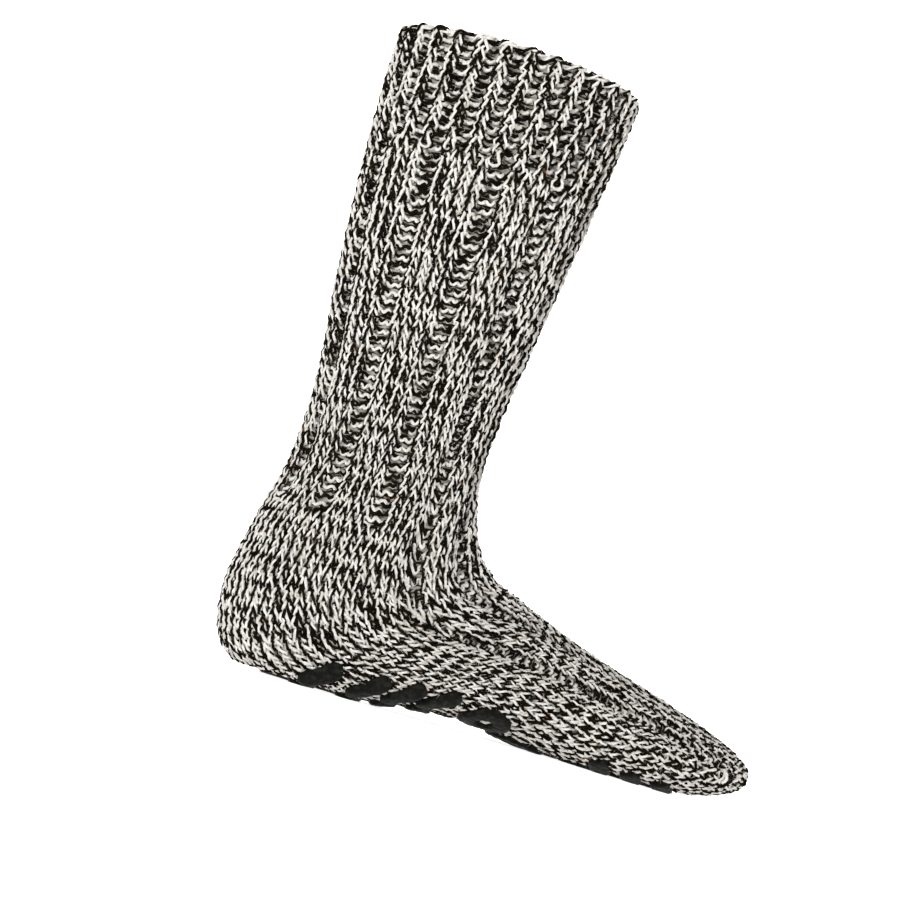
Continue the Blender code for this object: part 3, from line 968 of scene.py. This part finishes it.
class PrintFrame:
    """Middle, size and directions of one printed mark, from its own solid."""

    def __init__(self, node):
        turn = node.matrix_world
        corners = np.array([turn @ vert.co for vert in node.data.vertices])
        self.centre = corners.mean(axis=0)
        face = SKIN_TREE.find_nearest(Vector(self.centre))[2]
        self.out = SKIN.normals[TREE_ROWS[face // SKIN.AROUND], face % SKIN.AROUND]
        flat = corners - self.centre
        flat = flat - np.outer(flat @ self.out, self.out)
        self.along = np.linalg.svd(flat, full_matrices=False)[2][0]
        self.across = np.cross(self.out, self.along)
        self.half_length = np.abs(flat @ self.along).max()
        self.half_width = np.abs(flat @ self.across).max()
        reach = np.hypot(flat @ self.along, flat @ self.across)
        self.inner = reach.min()
        self.outer = reach.max()

    def drawn(self, x, y, drop):
        """A point over the skin, a drop below the print's outer face and never under the floor."""
        start = self.centre + self.along * x + self.across * y + self.out * RAY_START
        place, _, face, _ = SKIN_TREE.ray_cast(Vector(start), Vector(-self.out))
        row = TREE_ROWS[face // SKIN.AROUND]
        column = face % SKIN.AROUND
        ripple = math.sin(2 * math.pi * SKIN.travel[row, column] / COURSE)
        ripple += math.cos(2 * math.pi * column * WALES / SKIN.AROUND)
        point = np.array(place) + SKIN.normals[row, column] * (SOLE_LEVEL - drop + RIPPLE * ripple)
        point[2] = max(point[2], 0)
        return point


def print_grid(mark, ring):
    """Across and along places of a mark's points, with how near each is to the edge, 0 to 1."""
    edge = np.concatenate(([-1], np.linspace(-1, 1, PRINT_ACROSS + 1), [1]))
    if ring:
        angle = np.linspace(0, 2 * math.pi, PRINT_ROUND, endpoint=False)
        radius = (mark.outer + mark.inner) / 2 + edge * (mark.outer - mark.inner) / 2
        x = np.outer(np.cos(angle), radius)
        y = np.outer(np.sin(angle), radius)
        near = np.tile(np.abs(edge), (PRINT_ROUND, 1))
        return x, y, near
    long_edge = np.concatenate(([-1], np.linspace(-1, 1, PRINT_ALONG + 1), [1]))
    straight = mark.half_length - mark.half_width
    half = straight + mark.half_width * np.sqrt(1 - edge ** 2)
    x = np.outer(long_edge, half)
    y = np.tile(edge * mark.half_width, (len(long_edge), 1))
    past_end = np.maximum(np.abs(x) - straight, 0)
    near = np.hypot(past_end, y) / mark.half_width
    return x, y, near


def print_piece(name, node):
    ring = "ring" in name
    mark = PrintFrame(node)
    random = np.random.default_rng(len(name) + sum(name.encode()))
    x, y, near = print_grid(mark, ring)
    angle = np.arctan2(y, x)
    wide = 1 + PRINT_UNEVEN * np.sin(SLOW_WAVES * angle + random.uniform(*WAVE_STARTS))
    wide += PRINT_UNEVEN * np.sin(QUICK_WAVES * angle + random.uniform(*WAVE_STARTS)) / 2
    drop = PRINT_EDGE * np.clip((near - PRINT_FLAT) / (1 - PRINT_FLAT), 0, 1) ** 2
    drop[:, (0, -1)] = PRINT_SKIRT
    if not ring:
        drop[(0, -1), :] = PRINT_SKIRT
    rows, columns = x.shape
    verts = []
    for i in range(rows):
        for j in range(columns):
            scale = wide[i, j] if not ring or j > columns / 2 else 1
            verts.append(mark.drawn(x[i, j] * scale, y[i, j] * scale, drop[i, j]))
    faces = []
    for i in range(rows if ring else rows - 1):
        for j in range(columns - 1):
            k = (i + 1) % rows
            faces.append((i * columns + j, k * columns + j, k * columns + j + 1, i * columns + j + 1))
    mesh = bpy.data.meshes.new("print_" + name)
    mesh.from_pydata([tuple(vert) for vert in verts], [], faces)
    mesh.shade_smooth()
    mesh.materials.append(RUBBER)
    dress(bpy.data.objects.new("print_" + name, mesh), name)


for name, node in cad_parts.items():
    if name.startswith("grip"):
        print_piece(name, node)

# Floor, light and camera


def glowing_white(name, rough, glow):
    material, _, shader = shader_of(name, rough, specular=0.5)
    shader.inputs["Base Color"].default_value = PAPER_WHITE
    shader.inputs["Emission Color"].default_value = WHITE
    shader.inputs["Emission Strength"].default_value = glow
    return material


def make_floor():
    bpy.ops.mesh.primitive_plane_add(size=FLOOR_SIZE)
    floor = bpy.context.object
    floor.name = "floor"
    floor.data.materials.append(glowing_white("floor_white", FLOOR_ROUGHNESS, FLOOR_GLOW))


def make_backdrop():
    """A white wall far behind the sock, as bright as white paper."""
    upright = (math.radians(90), 0, CAMERA_AZIMUTH)
    bpy.ops.mesh.primitive_plane_add(size=WALL_SIZE, location=WALL_PLACE, rotation=upright)
    wall = bpy.context.object
    wall.name = "backdrop"
    wall.data.materials.append(glowing_white("backdrop_white", WALL_ROUGHNESS, WALL_GLOW))


def make_area(name, place, size, power):
    light = bpy.data.lights.new(name, "AREA")
    light.shape = "DISK"
    light.size = size
    light.energy = power
    lamp = bpy.data.objects.new(name, light)
    lamp.location = place
    lamp.rotation_euler = (Vector(LIGHT_TARGET) - Vector(place)).to_track_quat("-Z", "Y").to_euler()
    bpy.context.scene.collection.objects.link(lamp)


def make_world():
    world = bpy.data.worlds.new("studio")
    world.use_nodes = True
    back = world.node_tree.nodes["Background"]
    back.inputs["Color"].default_value = WHITE
    back.inputs["Strength"].default_value = WORLD_GLOW
    bpy.context.scene.world = world


def make_camera():
    camera = bpy.data.cameras.new("camera")
    camera.lens = LENS
    camera.sensor_width = SENSOR_WIDTH
    camera.clip_end = CLIP_END
    holder = bpy.data.objects.new("camera", camera)
    right = Vector((math.cos(CAMERA_AZIMUTH), math.sin(CAMERA_AZIMUTH), 0))
    away = Vector((-math.sin(CAMERA_AZIMUTH), math.cos(CAMERA_AZIMUTH), 0))
    target = Vector((HEEL_X, 0, 0)) + right * LOOK_ALONG
    target.z = LOOK_HEIGHT
    place = target - away * CAMERA_DISTANCE
    place.z = CAMERA_HEIGHT
    aim = (target - place).to_track_quat("-Z", "Y").to_matrix()
    turned = aim @ Matrix.Rotation(CAMERA_ROLL, 3, "Z")
    holder.matrix_world = Matrix.Translation(place) @ turned.to_4x4()
    bpy.context.scene.collection.objects.link(holder)
    bpy.context.scene.camera = holder


make_floor()
make_backdrop()
make_world()
for row in LIGHTS:
    make_area(**dict(zip(LIGHT_COLUMNS, row)))
make_camera()
bpy.context.scene.view_settings.view_transform = "Standard"
